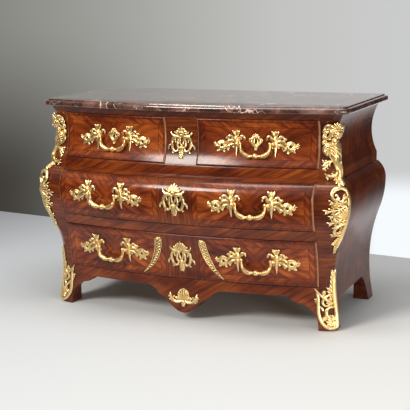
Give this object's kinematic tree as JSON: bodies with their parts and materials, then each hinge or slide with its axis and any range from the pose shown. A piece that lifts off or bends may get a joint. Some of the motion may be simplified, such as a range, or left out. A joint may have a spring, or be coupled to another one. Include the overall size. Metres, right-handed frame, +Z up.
{
  "type": "bombe chest of drawers",
  "caption": "Bombe chest with a marble top, short drawers over long ones, drop handles, bronze mounts and scrolled feet.",
  "frame": {"origin": "on the floor under the middle of the whole chest", "axes": "+X to the right of someone facing the drawers, +Y towards the wall behind the chest, +Z up"},
  "size_m": [1.3296, 0.7253, 0.8575],
  "materials": {
    "marble": "polished",
    "veneer": "polished lacquer",
    "oak": "raw",
    "gilt_bronze": "satin gilt",
    "steel": "brushed"
  },
  "bodies": {
    "carcass": {"apron": "veneer", "apron_mount": "gilt_bronze", "back_panel": "oak", "bottom_board": "oak", "centre_stile": "veneer", "corner_busts": "gilt_bronze", "corner_drops": "gilt_bronze", "drawer_guides": "oak", "dust_boards": "oak", "foot_mounts": "gilt_bronze", "marble_top": "marble", "post_front_left": "veneer", "post_front_right": "veneer", "rail_lower": "veneer", "rail_upper": "veneer", "rear_legs": "veneer", "side_left": "veneer", "side_right": "veneer", "stile_mount": "gilt_bronze", "sub_top": "oak", "top_rail": "veneer"},
    "drawer_top_left": {"drawer_top_left_front": "veneer", "drawer_top_left_box": "oak", "drawer_top_left_bottom": "oak", "lock_case_top_left": "steel", "escutcheon_top_left": "gilt_bronze", "handle_plates_top_left": "gilt_bronze", "handle_posts_top_left": "gilt_bronze"},
    "drawer_top_right": {"drawer_top_right_front": "veneer", "drawer_top_right_box": "oak", "drawer_top_right_bottom": "oak", "lock_case_top_right": "steel", "escutcheon_top_right": "gilt_bronze", "handle_plates_top_right": "gilt_bronze", "handle_posts_top_right": "gilt_bronze"},
    "drawer_middle": {"drawer_middle_front": "veneer", "drawer_middle_box": "oak", "drawer_middle_bottom": "oak", "lock_case_middle": "steel", "escutcheon_middle": "gilt_bronze", "handle_plates_middle": "gilt_bronze", "handle_posts_middle": "gilt_bronze"},
    "drawer_bottom": {"drawer_bottom_front": "veneer", "drawer_bottom_box": "oak", "drawer_bottom_bottom": "oak", "lock_case_bottom": "steel", "escutcheon_bottom": "gilt_bronze", "handle_plates_bottom": "gilt_bronze", "handle_posts_bottom": "gilt_bronze", "crescent_mounts": "gilt_bronze"},
    "lock_bolt_top_left": {"lock_bolt_top_left": "steel"},
    "lock_bolt_top_right": {"lock_bolt_top_right": "steel"},
    "lock_bolt_middle": {"lock_bolt_middle": "steel"},
    "lock_bolt_bottom": {"lock_bolt_bottom": "steel"},
    "bail_bottom_left": {"bail_bottom_left": "gilt_bronze"},
    "bail_bottom_right": {"bail_bottom_right": "gilt_bronze"},
    "bail_middle_left": {"bail_middle_left": "gilt_bronze"},
    "bail_middle_right": {"bail_middle_right": "gilt_bronze"},
    "bail_top_left": {"bail_top_left": "gilt_bronze"},
    "bail_top_right": {"bail_top_right": "gilt_bronze"}
  },
  "joints": [
    {"name": "drawer_top_left_slide", "type": "slide", "parent": "carcass", "child": "drawer_top_left", "axis": [0, -1, 0], "range_m": [0, 0.35]},
    {"name": "drawer_top_right_slide", "type": "slide", "parent": "carcass", "child": "drawer_top_right", "axis": [0, -1, 0], "range_m": [0, 0.35]},
    {"name": "drawer_middle_slide", "type": "slide", "parent": "carcass", "child": "drawer_middle", "axis": [0, -1, 0], "range_m": [0, 0.35]},
    {"name": "drawer_bottom_slide", "type": "slide", "parent": "carcass", "child": "drawer_bottom", "axis": [0, -1, 0], "range_m": [0, 0.35]},
    {"name": "bail_bottom_left_swing", "type": "hinge", "parent": "drawer_bottom", "child": "bail_bottom_left", "pos_m": [-0.31173, -0.28442, 0.269], "axis": [-0.9931, 0.1176, 0], "range_deg": [-8, 90]},
    {"name": "bail_bottom_right_swing", "type": "hinge", "parent": "drawer_bottom", "child": "bail_bottom_right", "pos_m": [0.31173, -0.28442, 0.269], "axis": [-0.9931, -0.1176, 0], "range_deg": [-8, 90]},
    {"name": "bail_middle_left_swing", "type": "hinge", "parent": "drawer_middle", "child": "bail_middle_left", "pos_m": [-0.31197, -0.34785, 0.497], "axis": [-0.9934, 0.115, 0], "range_deg": [-10, 90]},
    {"name": "bail_middle_right_swing", "type": "hinge", "parent": "drawer_middle", "child": "bail_middle_right", "pos_m": [0.31197, -0.34785, 0.497], "axis": [-0.9934, -0.115, 0], "range_deg": [-10, 90]},
    {"name": "bail_top_left_swing", "type": "hinge", "parent": "drawer_top_left", "child": "bail_top_left", "pos_m": [-0.30244, -0.26554, 0.715], "axis": [-0.9934, 0.115, 0], "range_deg": [0, 90]},
    {"name": "bail_top_right_swing", "type": "hinge", "parent": "drawer_top_right", "child": "bail_top_right", "pos_m": [0.30244, -0.26554, 0.715], "axis": [-0.9934, -0.115, 0], "range_deg": [0, 90]},
    {"name": "lock_bolt_top_left_throw", "type": "slide", "parent": "drawer_top_left", "child": "lock_bolt_top_left", "axis": [0, 0, 1], "range_m": [0, 0.01]},
    {"name": "lock_bolt_top_right_throw", "type": "slide", "parent": "drawer_top_right", "child": "lock_bolt_top_right", "axis": [0, 0, 1], "range_m": [0, 0.01]},
    {"name": "lock_bolt_middle_throw", "type": "slide", "parent": "drawer_middle", "child": "lock_bolt_middle", "axis": [0, 0, 1], "range_m": [0, 0.01]},
    {"name": "lock_bolt_bottom_throw", "type": "slide", "parent": "drawer_bottom", "child": "lock_bolt_bottom", "axis": [0, 0, 1], "range_m": [0, 0.01]}
  ]
}
